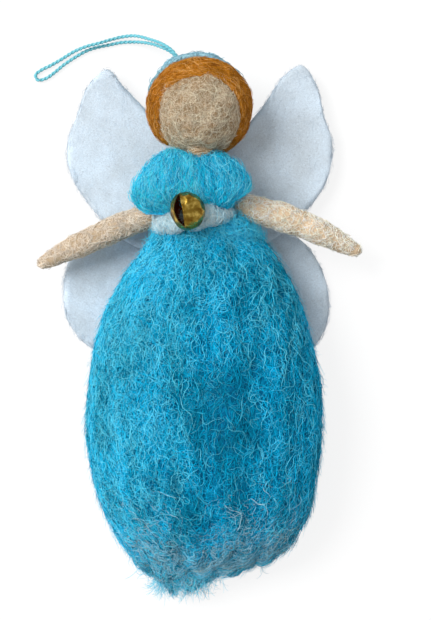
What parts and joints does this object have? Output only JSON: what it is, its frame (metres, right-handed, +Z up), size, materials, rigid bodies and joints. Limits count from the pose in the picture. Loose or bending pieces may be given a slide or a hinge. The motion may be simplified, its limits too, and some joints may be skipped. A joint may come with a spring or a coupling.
{
  "type": "wool angel ornament",
  "caption": "Wool angel ornament lying on its back, with felt wings, wired arms that bend at the shoulder, a brass bell that swings on its sash and a cord loop to hang it by.",
  "frame": {"origin": "on the resting surface, under the middle of the waist, on the flat back of the lower wings", "axes": "+X to the viewer's right, +Y to the head, +Z up from the surface towards the viewer"},
  "size_m": [0.1086, 0.1855, 0.0408],
  "materials": {
    "cream_wool": "felted cream wool",
    "golden_roving": "combed golden-brown roving",
    "hood_wool": "thin muted blue wool",
    "white_felt": "white wool felt",
    "bodice_wool": "bright blue carded wool",
    "skirt_wool": "blue carded wool with loose fibres",
    "sash_wool": "white carded wool",
    "bell_brass": "dented polished brass",
    "steel_wire": "plain steel",
    "aqua_cord": "twisted two-ply cord",
    "white_thread": "sewing thread"
  },
  "bodies": {
    "figure": {"head": "cream_wool", "hair": "golden_roving", "hood": "hood_wool", "neck": "cream_wool", "cord_knot": "aqua_cord", "hang_cord": "aqua_cord", "torso_core": "cream_wool", "spine_wire": "steel_wire", "shoulder_wire": "steel_wire", "bodice_left": "bodice_wool", "bodice_right": "bodice_wool", "belt": "sash_wool", "skirt_front": "skirt_wool", "skirt_back": "skirt_wool", "upper_wings": "white_felt", "lower_wings": "white_felt", "wing_stitch_upper": "white_thread", "wing_stitch_lower": "white_thread", "bell_thread": "white_thread"},
    "left_arm": {"arm_left": "cream_wool", "arm_wire_left": "steel_wire"},
    "right_arm": {"arm_right": "cream_wool", "arm_wire_right": "steel_wire"},
    "bell": {"bell_shell": "bell_brass", "bell_loop": "bell_brass"},
    "pellet": {"bell_pellet": "steel_wire"}
  },
  "joints": [
    {"name": "left_shoulder", "type": "hinge", "parent": "figure", "child": "left_arm", "pos_m": [-0.0176, 0.0001, 0.01227], "axis": [0, 0, -1], "range_deg": [-8, 40]},
    {"name": "right_shoulder", "type": "hinge", "parent": "figure", "child": "right_arm", "pos_m": [0.0148, 0.003, 0.01927], "axis": [0, 0, 1], "range_deg": [-8, 40]},
    {"name": "bell_swing", "type": "hinge", "parent": "figure", "child": "bell", "pos_m": [0.0005, 0.0009, 0.02976], "axis": [0, 1, 0], "range_deg": [0, 62]},
    {"name": "pellet_rattle", "type": "slide", "parent": "bell", "child": "pellet", "axis": [0, 0, 1], "range_m": [0, 0.0056]}
  ]
}
